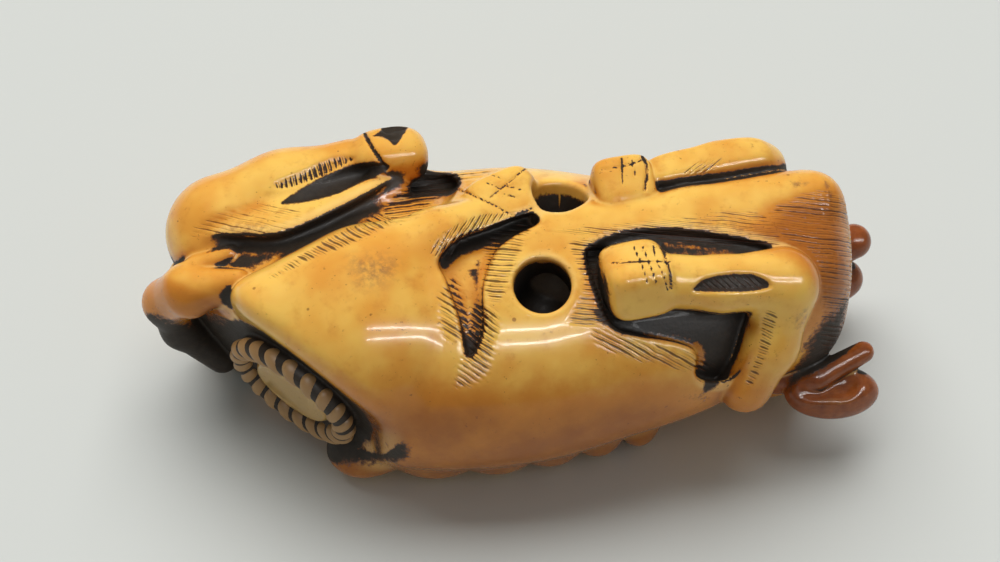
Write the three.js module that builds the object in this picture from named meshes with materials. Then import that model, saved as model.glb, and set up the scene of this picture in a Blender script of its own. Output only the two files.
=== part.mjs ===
// A netsuke: an ox lying with its legs folded, carved from one piece of stained ivory.
// It lies on its back, as a toggle does on a table, so the belly and the four folded legs face up.
// +X points to the shoulders and ears, -X to the rump, -Y to the ox's left flank, +Z up.
// The carving is one solid. It is described as balls, limbs and blocks joined with soft
// creases, from which grooves and the two cord holes are cut, and then wrapped in a net of triangles.
import * as THREE from 'three';

// ---------- Driving dimensions, in millimetres and degrees ----------
const LENGTH = 60;                    // rump to ear tips
const CORD_HOLE = 4.5;                // diameter of each cord hole
const DISC_RADIUS = 5.6;              // seal-like disc on the left rump
const ROPE_RADIUS = 0.85;             // half the thickness of its rope border
const HOOF_EDGE = 4;                  // 2 is a round ball, higher is a squarer block
const GROOVE = 1.6;                   // depth of the deep grooves beside the legs
const HOLLOW = 1.0;                   // depth of the shallow hollows beside the breastbone
const BELLY_TILT = 50;                // the belly faces forward and up at this angle
const VERTEBRAE = 6;                  // knuckles of the spine, along the lower left edge
const CELL = 0.62;                    // mesh size of the first, fine net of triangles
const TRIANGLES = 9600;               // left after thinning, which keeps the small forms
const LONGEST_SIDE = 3;               // of a thinned triangle
const FLAT_SNAP = 0.05;               // what is this near the floor lies on it
const SIZE = { x: [-32, 32], y: [-16, 15], z: [-1.5, 24] };   // space that holds the carving

// ---------- Forms: a form gives the distance from a point to its skin, less than 0 inside ----------
function softMin(a, b, crease) {
  const near = Math.max(crease - Math.abs(a - b), 0);
  return Math.min(a, b) - (near * near) / (4 * crease);
}
const softMax = (a, b, crease) => -softMin(-a, -b, crease);

function join(crease, ...forms) {
  return (x, y, z) => forms.reduce((d, form) => softMin(d, form(x, y, z), crease), Infinity);
}
function cut(crease, form, ...tools) {
  return (x, y, z) => tools.reduce((d, tool) => softMax(d, -tool(x, y, z), crease), form(x, y, z));
}

// A place of its own for a form: moved to a centre, and turned about X, then Y, then Z.
function placed(centre, turns, shape) {
  const [rx, ry, rz] = [turns.x ?? 0, turns.y ?? 0, turns.z ?? 0].map(THREE.MathUtils.degToRad);
  const m = new THREE.Matrix4().makeRotationFromEuler(new THREE.Euler(rx, ry, rz, 'ZYX')).elements;
  const [cx, cy, cz] = centre;
  return (x, y, z) => {
    const [px, py, pz] = [x - cx, y - cy, z - cz];
    return shape(
      m[0] * px + m[1] * py + m[2] * pz,
      m[4] * px + m[5] * py + m[6] * pz,
      m[8] * px + m[9] * py + m[10] * pz,
    );
  };
}

// An ellipsoid (edge 2) or a rounded block (edge 3 and more) with the given half sizes.
function block(centre, half, edge, turns = {}) {
  const [a, b, c] = half;
  return placed(centre, turns, (x, y, z) => {
    const [u, v, w] = [Math.abs(x) / a, Math.abs(y) / b, Math.abs(z) / c];
    const size = Math.max(u ** edge + v ** edge + w ** edge, 1e-9) ** (1 / edge);
    const slope = Math.hypot(u ** (edge - 1) / a, v ** (edge - 1) / b, w ** (edge - 1) / c);
    return (size - 1) / Math.max(slope * size ** (1 - edge), 1e-6);
  });
}
const ball = (centre, half, turns) => block(centre, half, 2, turns);

// One tapering length between two round ends.
function bone([ax, ay, az], [bx, by, bz], startRadius, endRadius) {
  const [dx, dy, dz] = [bx - ax, by - ay, bz - az];
  const long = Math.hypot(dx, dy, dz);
  const taper = (startRadius - endRadius) / long;
  const slant = Math.sqrt(Math.max(1 - taper * taper, 1e-6));
  return (x, y, z) => {
    const [px, py, pz] = [x - ax, y - ay, z - az];
    const along = (px * dx + py * dy + pz * dz) / long;
    const aside = Math.sqrt(Math.max(px * px + py * py + pz * pz - along * along, 0));
    const mark = along - (aside * taper) / slant;
    if (mark <= 0) return Math.hypot(along, aside) - startRadius;
    if (mark >= long) return Math.hypot(along - long, aside) - endRadius;
    return aside * slant + along * taper - startRadius;
  };
}
// A run of bones through joints, each joint given as [x, y, z, radius].
function limb(crease, ...joints) {
  const bones = joints.slice(1).map((end, i) => bone(joints[i], end, joints[i][3], end[3]));
  return join(crease, ...bones);
}

// A closed outline drawn on the belly: u runs along +X, v up the tilted belly.
const tilt = THREE.MathUtils.degToRad(BELLY_TILT);
function drawn(...points) {
  const curve = new THREE.CatmullRomCurve3(points.map(([u, v]) => new THREE.Vector3(u, v, 0)), true);
  const line = curve.getPoints(6 * points.length);
  const box = new THREE.Box3().setFromPoints(line);
  return (x, y, z) => {
    const v = y * Math.sin(tilt) + z * Math.cos(tilt);
    const outside = Math.hypot(
      Math.max(box.min.x - x, x - box.max.x, 0),
      Math.max(box.min.y - v, v - box.max.y, 0),
    );
    if (outside > 1.5) return outside;
    let [nearest, inside] = [Infinity, false];
    for (let i = 1; i < line.length; i += 1) {
      const [a, b] = [line[i - 1], line[i]];
      const [ex, ey] = [b.x - a.x, b.y - a.y];
      const share = ((x - a.x) * ex + (v - a.y) * ey) / Math.max(ex * ex + ey * ey, 1e-12);
      const t = THREE.MathUtils.clamp(share, 0, 1);
      nearest = Math.min(nearest, Math.hypot(x - a.x - t * ex, v - a.y - t * ey));
      if ((a.y > v) !== (b.y > v) && x < a.x + ((v - a.y) / ey) * ex) inside = !inside;
    }
    return inside ? -nearest : nearest;
  };
}
// Sinks the ground inside an outline to a depth below another form's skin, on the belly side only.
const BELLY_SIDE = 6.5;
function sink(form, base, outline, depth, crease) {
  return (x, y, z) => {
    const facing = z * Math.sin(tilt) - y * Math.cos(tilt);
    const tool = softMax(outline(x, y, z), -(base(x, y, z) + depth), crease);
    return softMax(form(x, y, z), -softMax(tool, BELLY_SIDE - facing, 1.5), crease);
  };
}

// ---------- The body ----------
function torso() {
  const barrel = ball([-4.5, -2.15, 10.2], [22.5, 12.5, 10.6], { y: -3 });
  const rump = ball([-17, 0.6, 11.2], [12.2, 9.5, 8.4], { z: 8 });
  const rumpBase = block([-19.5, -2.5, 6.5], [10.2, 8.5, 6.9], 3);
  const shoulders = ball([10, -1, 12], [13, 10.3, 8.8]);
  const neck = block([17.6, 1.5, 12.8], [9.8, 7.6, 7.6], 3.2, { z: -4 });
  const belly = ball([0, 3.2, 12], [11.5, 7.5, 7.3]);
  const body = join(2.5, barrel, rump, rumpBase, shoulders, neck, belly);
  const rumpSlope = (x, y, z) => 15.4 + 0.617 * x + 0.603 * y + 0.506 * z;   // flat behind the tail
  return cut(1.6, body, rumpSlope);
}
function breastbone() {
  return limb(1, [1, -1, 17.8, 2.6], [6, 0.2, 18.2, 2.2], [14, 1.9, 18.9, 1.9], [24.2, 4.3, 18.2, 2.2]);
}

// The spine's knuckles get smaller towards the shoulders and follow the lower left edge.
function spine() {
  const knuckles = [];
  let [x, step] = [-12.5, 5.9];
  for (let i = 0; i < VERTEBRAE; i += 1) {
    const y = -9.4 + 0.0085 * (x + 9) ** 2;
    const size = i === 0 ? 0.5 * step : 0.6 * step;
    knuckles.push(ball([x, y, 2.6], [size, 2.2, 2.2]));
    x += step;
    step *= 0.87;
  }
  return (px, py, pz) => Math.min(...knuckles.map((knuckle) => knuckle(px, py, pz)));
}

// ---------- The legs, folded along the belly ----------
function leftHindLeg() {
  const thigh = limb(2, [-19.4, -6.6, 15.4, 3.8], [-11.5, -5.4, 12.2, 8.6], [-5.5, -4.5, 11, 8]);
  const hock = limb(1, [-19.4, -5.6, 16.2, 2.8], [-11.5, -3.6, 17.2, 4]);
  const shank = limb(1, [-11.5, -3.6, 17.2, 4], [-6.2, -1, 18.6, 2.9], [-3.2, 0.6, 19.1, 2.3]);
  const hoof = block([-0.7, 2.7, 18.9], [3.1, 2.8, 2.3], HOOF_EDGE, { x: 8, z: 30 });
  return join(0.5, join(2, thigh, join(1, hock, shank)), hoof);
}
function rightHindLeg() {
  const shank = limb(2, [-23.8, 4.4, 14, 4.9], [-18.8, 6.6, 15.7, 3.7], [-13.4, 8.4, 17.4, 2.5]);
  const tendon = limb(1, [-24.6, 2.2, 14.4, 3], [-16.5, 3.2, 16.4, 2.4], [-9.8, 6.2, 17.2, 1.3]);
  const hoof = block([-10.3, 8.6, 18.6], [3.2, 2.4, 2.2], 2.7, { x: -10, z: 12 });
  return join(0.5, join(0.8, shank, tendon), hoof);
}
const rightThigh = () => limb(2, [-20.5, 5, 12, 5.4], [-12.5, 4.6, 10.6, 8], [-6, 3.2, 11, 7]);
function leftFrontLeg() {
  const shin = limb(1, [11, -5.6, 19.8, 2.2], [16, -5.7, 19.5, 2.1], [21, -4.7, 18.8, 2.6]);
  const forearm = limb(1, [21.2, -5, 18, 2.5], [20.2, -7.2, 13.9, 2.2], [18.4, -8.6, 10.4, 2.2]);
  const hoof = block([9.4, -5.6, 19.9], [2.7, 3, 2.4], HOOF_EDGE, { x: -18, z: 14 });
  return join(0.5, join(1.2, shin, forearm), hoof);
}
function rightFrontLeg() {
  const shin = join(1.5, block([15.4, 6.2, 19.7], [5.2, 1.6, 1.8], 4, { z: 15 }), bone([16.5, 6.6, 19.5], [20.1, 7.3, 19.2], 1.6, 1.5));
  const forearm = limb(1, [20, 7.6, 18.4, 2.2], [18.6, 9.2, 14, 2.2], [15, 9.2, 9, 2.5]);
  const hoof = block([8.7, 4, 19.9], [2.5, 2.4, 2], HOOF_EDGE, { x: 15, z: 12 });
  return join(0.4, shin, forearm, hoof);
}

// ---------- Head, ears, horns and tail ----------
function head() {
  const skull = block([20.2, 1.3, 4.9], [5.7, 5.4, 5.2], 2.4);
  const nose = limb(1, [17, 1.4, 4.4, 4.4], [9.4, 1.9, 3.1, 2.9]);
  const muzzle = block([7.8, 1.9, 2.9], [2.4, 3.3, 2.9], 2.6);
  const brows = [-1, 1].map((side) => ball([17.2, 1.4 + side * 4.4, 3.4], [2.1, 1.2, 1.4]));
  return join(0.5, join(1.6, skull, join(1, nose, muzzle)), ...brows);
}
function leftEarAndHorn() {
  const ear = ball([26, -6, 6.1], [4, 1.9, 2.3], { x: -30, y: 8, z: 6 });
  const inside = limb(0.5, [23.6, -7.5, 8, 0.9], [26.9, -6.8, 8.7, 1.7], [28.6, -5.9, 9.4, 1.2]);
  const horn = limb(0.5, [21.6, -4.6, 6.4, 1.5], [24.6, -5.6, 7.5, 1.1], [28.5, -3.9, 8.7, 0.9]);
  return join(0.3, cut(0.4, ear, inside), horn);
}
function rightEarAndHorn() {
  const ear = limb(0.5, [22, 5.2, 4.6, 1.4], [26.6, 7, 5, 2.1], [28.3, 7.4, 4.6, 1.6], [27.4, 6.4, 2.9, 0.9]);
  const horn = limb(0.5, [21.8, 5, 6.6, 1.5], [25.6, 7, 7.4, 1.3], [28.8, 8, 8.8, 1.5]);
  return join(0.3, ear, horn);
}
function tail() {
  const root = limb(1, [-24.6, -0.5, 3.8, 1.4], [-27.6, -0.9, 8, 1.5], [-28.4, -1, 11.6, 1.8]);
  const tuft = limb(1, [-28.4, -1, 11.6, 1.8], [-26.2, -2.2, 14.6, 2.3]);
  const leftLock = bone([-26, -2.6, 14.8], [-22, -3, 16.6], 2, 1);
  const rightLock = bone([-25.4, -0.8, 15.4], [-22.8, -0.4, 17], 1.3, 0.6);
  return join(0.4, join(1, root, tuft), leftLock, rightLock);
}

// ---------- The roped disc on the left rump ----------
const DISC_CENTRE = new THREE.Vector3(-17.8, -8, 9);
const DISC_FACING = new THREE.Vector3(-0.583, -0.782, -0.226).normalize();
// Distance from the disc's axis, and height above its face.
function discPlace(x, y, z) {
  const from = new THREE.Vector3(x, y, z).sub(DISC_CENTRE);
  const height = from.dot(DISC_FACING);
  return [from.addScaledVector(DISC_FACING, -height).length(), height];
}
function disc(x, y, z) {
  const [radius, height] = discPlace(x, y, z);
  const plate = softMax(radius - DISC_RADIUS, Math.abs(height + 2) - 2, 0.4);
  const rope = Math.hypot(radius - DISC_RADIUS + 0.45, height - 0.1) - ROPE_RADIUS;
  return softMin(plate, rope, 0.2);
}
// The haunch is pared away to a sloping edge beside the disc, and the ground around it is dished.
// The haunch is pared to a slope that stops this far past the disc.
const PARED_END = 3.2;
const PARED_EDGE = new THREE.Vector3(-16.3, -7.9, 11.6);
const PARED_FACING = new THREE.Vector3(0.617, 0.661, 0.437).normalize();
const PARED_ALONG = new THREE.Vector3(0.787, -0.473, -0.397).normalize();
function discSeat(x, y, z) {
  const place = new THREE.Vector3(x, y, z);
  const slope = place.clone().sub(PARED_EDGE).dot(PARED_FACING);
  const from = place.sub(DISC_CENTRE);
  const end = from.dot(PARED_ALONG) - DISC_RADIUS - PARED_END;
  return softMax(softMax(end, -(from.dot(DISC_FACING) + 1), 3), slope, 0.8);
}

// ---------- Grooves drawn on the belly ----------
const underShin = drawn(
  [5.6, 10.8], [6.6, 7], [7.6, 4.9], [9.7, 4.2], [13.9, 3.1], [14.3, 0.9], [16.6, 0.6], [19.5, 2.5],
  [20.5, 6], [19, 8.6], [12, 9.2], [9, 10.4],
);
const besideRightShin = drawn(
  [6.3, 14.6], [9.9, 14.9], [20.6, 17], [23, 17.4], [21, 17.9], [14.7, 16.9], [9, 15.9],
);
const besideLeftShin = drawn(
  [6.6, 11.4], [9.8, 12.3], [14.5, 12.1], [20, 11], [21.5, 9.5], [16.7, 8.8], [10, 9], [7.4, 10],
);
const betweenThighs = drawn(
  [-30, 11.7], [-22.7, 11.9], [-18.6, 12], [-14, 14], [-9, 16.8], [-7, 17.2], [-4.6, 16.2], [-7.2, 12.9],
  [-10.6, 11.4], [-14.5, 10.2], [-19.2, 8.6], [-22, 6.6], [-24.5, 8], [-30, 9.6],
);
const beforeHaunch = drawn(
  [1, 13.7], [-2, 12.6], [-4.6, 11.6], [-6, 10], [-5.4, 8.4], [-4.4, 5.6], [-3.6, 2.6], [-2.5, 4.6],
  [-2.5, 8], [-1.6, 10.6], [-0.2, 11.9], [1.8, 13],
);

// ---------- The whole carving ----------
function carving() {
  const body = join(2, torso(), rightThigh());
  let ox = sink(body, body, besideRightShin, HOLLOW, 0.8);
  ox = sink(ox, body, besideLeftShin, HOLLOW, 0.8);
  ox = join(1.6, ox, breastbone());
  ox = sink(ox, body, underShin, GROOVE, 0.5);
  ox = sink(ox, body, betweenThighs, GROOVE, 1);
  ox = join(0.5, ox, leftHindLeg());
  ox = sink(ox, body, beforeHaunch, GROOVE, 0.5);
  ox = join(2.4, cut(1.8, ox, discSeat), spine());
  ox = join(0.4, ox, rightHindLeg(), leftFrontLeg(), rightFrontLeg(), tail());
  ox = join(0.4, ox, head(), leftEarAndHorn(), rightEarAndHorn(), disc);
  const hole = CORD_HOLE / 2;
  const sideHole = bone([2, -7.2, 22], [2.4, -2.6, 13], hole, hole);
  const bellyHole = bone([3.6, 4, 22], [3.4, 0, 14], hole, hole);
  const holed = cut(0.4, ox, sideHole, bellyHole);
  return (x, y, z) => Math.max(holed(x, y, z), -z);     // worn flat underneath
}

// ---------- The net: one vertex for each cell that the skin crosses, one square for each edge ----------
const AXES = ['x', 'y', 'z'];
const CORNERS = [0, 1, 2, 3, 4, 5, 6, 7].map((n) => [n & 1, (n >> 1) & 1, (n >> 2) & 1]);
const FACES = [[0, 2, 6, 4], [1, 3, 7, 5], [0, 1, 5, 4], [2, 3, 7, 6], [0, 1, 3, 2], [4, 5, 7, 6]];
const EDGES = CORNERS.flatMap((_, n) => [1, 2, 4].filter((bit) => !(n & bit)).map((bit) => [n, n | bit]));

// Fills corners until no face or cube has inside corners that meet only across a diagonal, so the
// net never pinches to a line or a point.
function fillPinches(values, crossedCells, corner) {
  let filled = true;
  while (filled) {
    filled = false;
    for (const cell of crossedCells()) {
      const ids = CORNERS.map((c) => corner(cell[0] + c[0], cell[1] + c[1], cell[2] + c[2]));
      const solid = ids.map((id) => values[id] < 0);
      const count = solid.filter(Boolean).length;
      const crossed = FACES.find(([a, b, c, d]) => (
        solid[a] === solid[c] && solid[b] === solid[d] && solid[a] !== solid[b]
      ));
      const opposite = [0, 1, 2, 3].some((n) => solid[n] === solid[7 - n] && count === (solid[n] ? 2 : 6));
      if (crossed || opposite) {
        const open = (crossed ?? [0, 1, 2, 3, 4, 5, 6, 7]).filter((n) => !solid[n]);
        open.sort((m, n) => values[ids[m]] - values[ids[n]]);
        values[ids[open[0]]] = -0.02;
        filled = true;
      }
    }
  }
}

function wrap(form, cell) {
  const start = AXES.map((axis) => SIZE[axis][0]);
  const steps = AXES.map((axis) => Math.ceil((SIZE[axis][1] - SIZE[axis][0]) / cell));
  const corner = (i, j, k) => (i * (steps[1] + 1) + j) * (steps[2] + 1) + k;
  const place = (i, j, k) => [start[0] + i * cell, start[1] + j * cell, start[2] + k * cell];
  const values = new Float64Array((steps[0] + 1) * (steps[1] + 1) * (steps[2] + 1));
  for (let i = 0; i <= steps[0]; i += 1) {
    for (let j = 0; j <= steps[1]; j += 1) {
      for (let k = 0; k <= steps[2]; k += 1) values[corner(i, j, k)] = form(...place(i, j, k));
    }
  }
  const crossed = ([i, j, k]) => {
    const sides = CORNERS.map((c) => values[corner(i + c[0], j + c[1], k + c[2])] < 0);
    return sides.includes(true) && sides.includes(false);
  };
  const crossedCells = () => {
    const cells = [];
    for (let i = 0; i < steps[0]; i += 1) {
      for (let j = 0; j < steps[1]; j += 1) {
        for (let k = 0; k < steps[2]; k += 1) if (crossed([i, j, k])) cells.push([i, j, k]);
      }
    }
    return cells;
  };
  fillPinches(values, crossedCells, corner);
  const cells = crossedCells();

  const positions = [];
  const vertexOf = new Map();
  for (const [i, j, k] of cells) {
    const points = [];
    for (const [m, n] of EDGES) {
      const [a, b] = [m, n].map((c) => [i + CORNERS[c][0], j + CORNERS[c][1], k + CORNERS[c][2]]);
      const [da, db] = [values[corner(...a)], values[corner(...b)]];
      if ((da < 0) !== (db < 0)) {
        const share = da / (da - db);
        points.push(place(...a).map((p, axis) => p + share * cell * (b[axis] - a[axis])));
      }
    }
    const middle = AXES.map((_, axis) => points.reduce((sum, p) => sum + p[axis], 0) / points.length);
    vertexOf.set(corner(i, j, k), positions.length / 3);
    positions.push(...middle);
  }

  const triangles = [];
  for (const [i, j, k] of cells) {
    for (const axis of [0, 1, 2]) {
      const end = [i, j, k].map((n, a) => n + (a === axis ? 1 : 0));
      const [solid, next] = [values[corner(i, j, k)] < 0, values[corner(...end)] < 0];
      if (solid !== next) {
        const [b, c] = [(axis + 1) % 3, (axis + 2) % 3];
        const around = [[0, 0], [1, 0], [1, 1], [0, 1]].map(([db, dc]) => {
          const at = [i, j, k];
          at[b] -= db;
          at[c] -= dc;
          return vertexOf.get(corner(...at));
        });
        triangles.push(...square(solid ? around : around.reverse(), positions));
      }
    }
  }
  const geometry = new THREE.BufferGeometry();
  geometry.setAttribute('position', new THREE.Float32BufferAttribute(positions, 3));
  geometry.setIndex(triangles);
  return geometry;
}

// Two triangles for a square, split along its shorter diagonal.
function square([a, b, c, d], positions) {
  const along = (m, n, axis) => positions[3 * m + axis] - positions[3 * n + axis];
  const gap = (m, n) => Math.hypot(along(m, n, 0), along(m, n, 1), along(m, n, 2));
  return gap(a, c) < gap(b, d) ? [a, b, c, a, c, d] : [b, c, d, b, d, a];
}

// ---------- Thinning: merges neighbours where the skin is nearly flat, keeps small forms ----------
// Each vertex remembers the planes of the triangles that it stands for, as one quadratic form:
// how far a point p is from them all is p.M.p + 2 b.p + c.
class Planes {
  constructor() {
    this.m = [0, 0, 0, 0, 0, 0, 0, 0, 0];
    this.b = new THREE.Vector3();
    this.c = 0;
  }
  addPlane(normal, offset, weight) {
    const n = normal.toArray();
    this.m = this.m.map((sum, i) => sum + weight * n[i % 3] * n[Math.floor(i / 3)]);
    this.b.addScaledVector(normal, weight * offset);
    this.c += weight * offset * offset;
  }
  plus(other) {
    const sum = new Planes();
    sum.m = this.m.map((value, i) => value + other.m[i]);
    sum.b.addVectors(this.b, other.b);
    sum.c = this.c + other.c;
    return sum;
  }
  // The point nearest to all the planes, drawn a little towards a middle point.
  best(middle) {
    const pull = 0.002;
    const pulled = this.m.map((value, i) => value + (i % 4 === 0 ? pull : 0));
    const inverse = new THREE.Matrix3().fromArray(pulled).invert();
    return middle.clone().multiplyScalar(pull).sub(this.b).applyMatrix3(inverse);
  }
  error(p) {
    const moved = p.clone().applyMatrix3(new THREE.Matrix3().fromArray(this.m));
    return moved.addScaledVector(this.b, 2).dot(p) + this.c;
  }
}

function normalOf(a, b, c) {
  return new THREE.Vector3().subVectors(b, a).cross(new THREE.Vector3().subVectors(c, a));
}

function thin(geometry, target) {
  const position = geometry.getAttribute('position');
  const places = [];
  for (let i = 0; i < position.count; i += 1) {
    places.push(new THREE.Vector3().fromBufferAttribute(position, i));
  }
  const faces = [];
  for (let i = 0; i < geometry.index.count; i += 3) faces.push([...geometry.index.array.slice(i, i + 3)]);
  const planes = places.map(() => new Planes());
  const facesOf = places.map(() => new Set());
  faces.forEach((face, i) => {
    const normal = normalOf(...face.map((v) => places[v]));
    const area = normal.length() / 2;
    normal.normalize();
    for (const v of face) {
      planes[v].addPlane(normal, -normal.dot(places[face[0]]), area);
      facesOf[v].add(i);
    }
  });
  const neighbours = (v) => new Set([...facesOf[v]].flatMap((i) => faces[i]));

  // True if moving a and b to one place keeps the skin closed, unfolded and made of fair triangles.
  const canMerge = (a, b, place) => {
    const [nearA, nearB] = [neighbours(a), neighbours(b)];
    const shared = [...nearA].filter((v) => nearB.has(v)).length;
    if (shared !== 4) return false;                    // a, b and one vertex on each side
    for (const v of new Set([...nearA, ...nearB])) {
      if (v !== a && v !== b && places[v].distanceTo(place) > LONGEST_SIDE) return false;
    }
    return [...facesOf[a], ...facesOf[b]].every((i) => {
      if (faces[i].includes(a) && faces[i].includes(b)) return true;
      const corners = faces[i].map((v) => places[v]);
      const moved = faces[i].map((v) => (v === a || v === b ? place : places[v]));
      const [before, after] = [normalOf(...corners), normalOf(...moved)];
      const longest = Math.max(...moved.map((p, n) => p.distanceTo(moved[(n + 1) % 3])));
      const turned = before.dot(after) < 0.5 * before.length() * after.length();
      return !turned && after.length() > 0.15 * longest ** 2;
    });
  };
  const merge = (a, b, place) => {
    places[a].copy(place);
    planes[a] = planes[a].plus(planes[b]);
    for (const i of facesOf[b]) {
      if (faces[i].includes(a)) {
        faces[i].forEach((v) => v !== b && facesOf[v].delete(i));
        faces[i] = null;
      } else {
        faces[i] = faces[i].map((v) => (v === b ? a : v));
        facesOf[a].add(i);
      }
    }
    facesOf[b].clear();
  };

  let left = faces.length;
  for (let limit = 1e-6; left > target; limit *= 1.6) {
    for (let i = 0; i < faces.length && left > target; i += 1) {
      for (let n = 0; n < 3 && faces[i]; n += 1) {
        const [a, b] = [faces[i][n], faces[i][(n + 1) % 3]];
        const both = planes[a].plus(planes[b]);
        const place = both.best(places[a].clone().lerp(places[b], 0.5));
        if (both.error(place) < limit && canMerge(a, b, place)) {
          merge(a, b, place);
          left -= 2;
        }
      }
    }
  }
  const kept = places.map((_, v) => v).filter((v) => facesOf[v].size > 0);
  for (const v of kept) if (places[v].z < FLAT_SNAP) places[v].z = 0;   // the worn flats stay flat
  const newIndex = new Map(kept.map((v, i) => [v, i]));
  const thinned = new THREE.BufferGeometry().setFromPoints(kept.map((v) => places[v]));
  thinned.setIndex(faces.filter(Boolean).flat().map((v) => newIndex.get(v)));
  return thinned;
}

// ---------- The carving as one mesh, to its length and over its origin ----------
const geometry = thin(wrap(carving(), CELL), TRIANGLES);
geometry.computeBoundingBox();
const box = geometry.boundingBox;
const fit = LENGTH / (box.max.x - box.min.x);
geometry.translate(-(box.min.x + box.max.x) / 2, -(box.min.y + box.max.y) / 2, -box.min.z);
geometry.scale(fit, fit, fit);
geometry.computeVertexNormals();

const ivory = new THREE.MeshStandardMaterial({ color: '#d99a3c', roughness: 0.35, metalness: 0 });
const ox = new THREE.Mesh(geometry, ivory);
ox.name = 'carved_ox';

const netsuke = new THREE.Group();
netsuke.add(ox);

export default netsuke;
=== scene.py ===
# %% [markdown]
# # A carved netsuke: an ox lying with its legs folded
# A netsuke is a toggle, about as long as a thumb, carved from one block of ivory. It is held and
# rubbed for years, so the high places are polished honey yellow, while the black stain that the
# carver rubbed in stays in the grooves. The CAD frame gives the carving's size and place. Here the
# same forms are carved much finer, because a polished skin shows every facet in its highlights.

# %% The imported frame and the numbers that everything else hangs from
import math
from concurrent.futures import ThreadPoolExecutor

import bpy
import numpy as np
from mathutils import Matrix, Vector


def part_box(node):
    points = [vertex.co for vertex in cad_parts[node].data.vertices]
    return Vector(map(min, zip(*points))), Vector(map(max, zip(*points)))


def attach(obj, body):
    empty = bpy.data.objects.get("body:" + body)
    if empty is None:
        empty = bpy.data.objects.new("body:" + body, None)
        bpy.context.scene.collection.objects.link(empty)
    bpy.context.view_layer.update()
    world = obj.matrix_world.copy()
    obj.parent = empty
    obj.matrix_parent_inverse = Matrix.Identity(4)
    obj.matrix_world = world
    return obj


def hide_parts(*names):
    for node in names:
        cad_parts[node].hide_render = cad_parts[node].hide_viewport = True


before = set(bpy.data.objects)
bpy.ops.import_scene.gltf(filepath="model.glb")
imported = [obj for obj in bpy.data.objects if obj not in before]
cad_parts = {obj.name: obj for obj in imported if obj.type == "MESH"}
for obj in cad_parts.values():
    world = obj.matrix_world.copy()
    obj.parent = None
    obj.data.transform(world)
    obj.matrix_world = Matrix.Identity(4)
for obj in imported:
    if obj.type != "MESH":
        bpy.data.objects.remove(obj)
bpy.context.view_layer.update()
MM = 0.001
low, high = (np.array(corner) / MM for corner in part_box("carved_ox"))
LENGTH = high[0] - low[0]
print(f"The CAD carving is {LENGTH:.1f} mm long, {high[1] - low[1]:.1f} wide and {high[2]:.1f} high.")

# %% [markdown]
# ## Forms that blend
# A carver cuts a whole animal out of a block, so no seam shows where a leg meets a flank. Boxes and
# cylinders joined by hard unions would look assembled. A distance field suits a carving better: each
# form is a function that says how far a point is from its skin, and a soft minimum of two such
# functions joins them with a rounded crease. The functions take many points at once, as one array
# with a row for each point, in millimetres.

# %% Soft joins and cuts
def soft_min(a, b, crease):
    near = np.maximum(crease - np.abs(a - b), 0)
    return np.minimum(a, b) - near * near / (4 * crease)


def soft_max(a, b, crease):
    return -soft_min(-a, -b, crease)


def join(crease, *forms):
    def joined(p):
        d = forms[0](p)
        for form in forms[1:]:
            d = soft_min(d, form(p), crease)
        return d
    return joined


def cut(crease, form, *tools):
    def kept(p):
        d = form(p)
        for tool in tools:
            d = soft_max(d, -tool(p), crease)
        return d
    return kept


# %% Balls, blocks and limbs
def turned(x=0, y=0, z=0):
    """The matrix that turns about X, then Y, then Z, in degrees."""
    angles = [math.radians(angle) for angle in (x, y, z)]
    (cx, sx), (cy, sy), (cz, sz) = ((math.cos(a), math.sin(a)) for a in angles)
    about_x = np.array([[1, 0, 0], [0, cx, -sx], [0, sx, cx]])
    about_y = np.array([[cy, 0, sy], [0, 1, 0], [-sy, 0, cy]])
    about_z = np.array([[cz, -sz, 0], [sz, cz, 0], [0, 0, 1]])
    return about_z @ about_y @ about_x


def block(centre, half, edge, **turn):
    """A rounded block with the given half sizes: edge 2 is an ellipsoid, 4 is quite square."""
    matrix = turned(**turn)
    half = np.array(half, float)

    def form(p):
        u = np.abs((p - centre) @ matrix) / half
        size = np.maximum((u ** edge).sum(1), 1e-9) ** (1 / edge)
        slope = np.sqrt(((u ** (edge - 1) / half) ** 2).sum(1))
        return (size - 1) / np.maximum(slope * size ** (1 - edge), 1e-6)
    return form


def ball(centre, half, **turn):
    return block(centre, half, 2, **turn)


def bone(start, end, start_radius, end_radius):
    """One tapering length between two round ends."""
    start = np.array(start, float)
    reach = np.array(end, float) - start
    long = np.linalg.norm(reach)
    taper = (start_radius - end_radius) / long
    slant = math.sqrt(max(1 - taper * taper, 1e-6))

    def form(p):
        q = p - start
        along = q @ reach / long
        aside = np.sqrt(np.maximum((q * q).sum(1) - along * along, 0))
        mark = along - aside * taper / slant
        side = aside * slant + along * taper - start_radius
        first = np.hypot(along, aside) - start_radius
        last = np.hypot(along - long, aside) - end_radius
        return np.where(mark <= 0, first, np.where(mark >= long, last, side))
    return form


def limb(crease, *joints):
    """A run of bones through joints, each joint given as (x, y, z, radius)."""
    bones = [bone(a[:3], b[:3], a[3], b[3]) for a, b in zip(joints, joints[1:])]
    return join(crease, *bones)


# %% [markdown]
# ## Outlines drawn on the tilted belly
# The belly faces forward and up, so grooves are drawn on a plane tilted the same way: u runs along X
# and v runs up the belly. An outline becomes a smooth closed curve, and its signed distance, negative
# inside, can cut a groove, hold a patch of hatching or spread a stain with a soft edge.

# %% The tilted drawing plane
TILT = math.radians(50)
ACROSS = np.array([0, math.sin(TILT), math.cos(TILT)])      # direction of v
OUTWARD = np.array([0, -math.cos(TILT), math.sin(TILT)])    # out of the belly


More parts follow.
